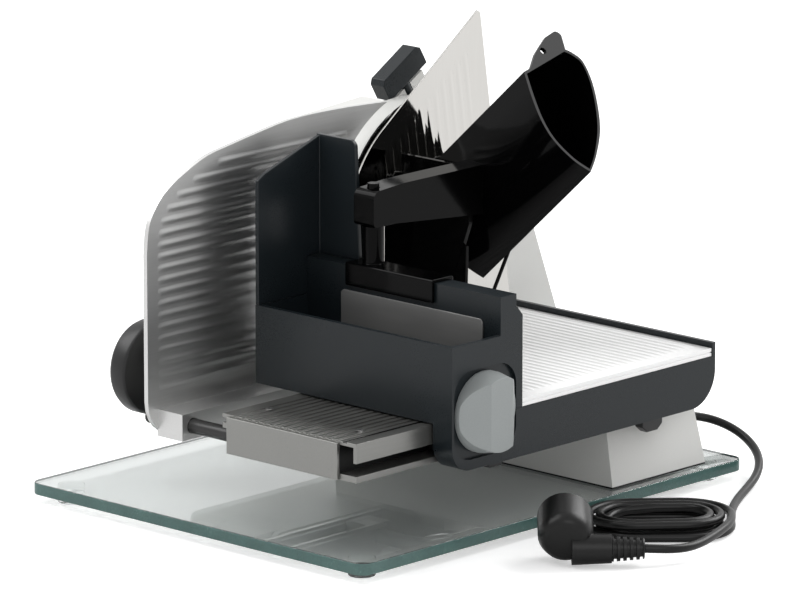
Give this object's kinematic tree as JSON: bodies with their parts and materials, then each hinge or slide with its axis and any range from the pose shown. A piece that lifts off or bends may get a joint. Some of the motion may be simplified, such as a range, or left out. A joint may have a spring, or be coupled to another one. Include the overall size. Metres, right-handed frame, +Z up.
{
  "type": "food slicer",
  "caption": "Electric food slicer on a glass base: ribbed stop plate, round blade with worm drive, sliding carriage with hand guard and a slanted feed chute, mains cord in a hank",
  "frame": {"origin": "under the middle of the machine's own box, on the table", "axes": "+X to the operator's right, +Y away from the operator along the carriage's travel, +Z up"},
  "size_m": [0.4187, 0.4015, 0.3049],
  "materials": {
    "clear_glass": "clear float glass with ground edges and a green edge tint",
    "grey_paint": "satin light grey paint on cast aluminium",
    "aluminium": "satin anodised aluminium",
    "polished_steel": "polished stainless steel",
    "dark_plastic": "satin anthracite moulding",
    "gloss_black": "gloss black moulding",
    "black_rubber": "black flexible plastic and rubber",
    "knob_grey": "satin grey moulding",
    "steel": "plain steel",
    "gear_nylon": "natural nylon"
  },
  "bodies": {
    "base": {"glass_base": "clear_glass", "glass_foot_1": "clear_glass", "glass_foot_2": "clear_glass", "glass_foot_3": "clear_glass", "glass_foot_4": "clear_glass", "pedestal": "grey_paint", "motor_housing": "grey_paint", "machine_frame": "grey_paint", "bed_extrusion": "aluminium", "bed_cover_front": "aluminium", "bed_cover_rear": "aluminium", "blade_cover_plate": "polished_steel", "base_gasket": "black_rubber", "cord_gland": "black_rubber", "cord_lead": "black_rubber", "cord_hank": "black_rubber", "cord_tail": "black_rubber", "plug_boot": "black_rubber", "plug_body": "black_rubber", "bed_screw_left": "steel", "bed_screw_right": "steel", "front_bearing": "steel", "rear_bearing": "steel", "motor": "steel", "motor_bracket": "steel", "guide_rod_front": "steel", "guide_rod_rear": "steel", "plug_pin_1": "steel", "plug_pin_2": "steel"},
    "blade": {"blade": "polished_steel", "blade_shaft": "steel", "worm_wheel": "gear_nylon"},
    "worm": {"motor_worm": "steel"},
    "stop_plate": {"stop_plate": "aluminium", "adjuster_nut": "gear_nylon"},
    "thickness_knob": {"thickness_knob": "gloss_black", "adjuster_spindle": "steel"},
    "carriage": {"carriage": "dark_plastic", "hand_guard": "dark_plastic", "carriage_floor": "aluminium", "pusher_panel": "aluminium", "runner_shoe": "gloss_black", "glide_front": "gloss_black", "glide_rear": "gloss_black", "chute_saddle": "gloss_black"},
    "lock_knob": {"lock_knob": "knob_grey"},
    "chute": {"feed_chute": "gloss_black"},
    "switch": {"power_switch": "dark_plastic"}
  },
  "joints": [
    {"name": "blade_spin", "type": "hinge", "parent": "base", "child": "blade", "pos_m": [-0.04895, 0.06974, 0.1684], "axis": [1, 0, 0], "continuous": true},
    {"name": "worm_spin", "type": "hinge", "parent": "base", "child": "worm", "pos_m": [-0.11995, 0.06974, 0.1169], "axis": [0, 1, 0], "continuous": true},
    {"name": "stop_plate_slide", "type": "slide", "parent": "base", "child": "stop_plate", "axis": [1, 0, 0], "range_m": [-0.011, 0.008]},
    {"name": "thickness_turn", "type": "hinge", "parent": "base", "child": "thickness_knob", "pos_m": [-0.12095, -0.11726, 0.084], "axis": [1, 0, 0], "range_deg": [-190, 140]},
    {"name": "carriage_slide", "type": "slide", "parent": "base", "child": "carriage", "axis": [0, 1, 0], "range_m": [-0.06, 0.13]},
    {"name": "lock_turn", "type": "hinge", "parent": "carriage", "child": "lock_knob", "pos_m": [0.14705, -0.08726, 0.095], "axis": [1, 0, 0], "range_deg": [0, 90]},
    {"name": "chute_swing", "type": "hinge", "parent": "carriage", "child": "chute", "pos_m": [0.02605, -0.06427, 0.18], "axis": [0, 0, 1], "range_deg": [-30, 0]},
    {"name": "switch_press", "type": "slide", "parent": "base", "child": "switch", "axis": [0, -0.515, 0.8572], "range_m": [-0.003, 0], "stiffness_N_per_m": 500}
  ],
  "couplings": [
    {"joint": "worm_spin", "follows": "blade_spin", "ratio": -34},
    {"joint": "thickness_turn", "follows": "stop_plate_slide", "rad_per_m": 288}
  ]
}
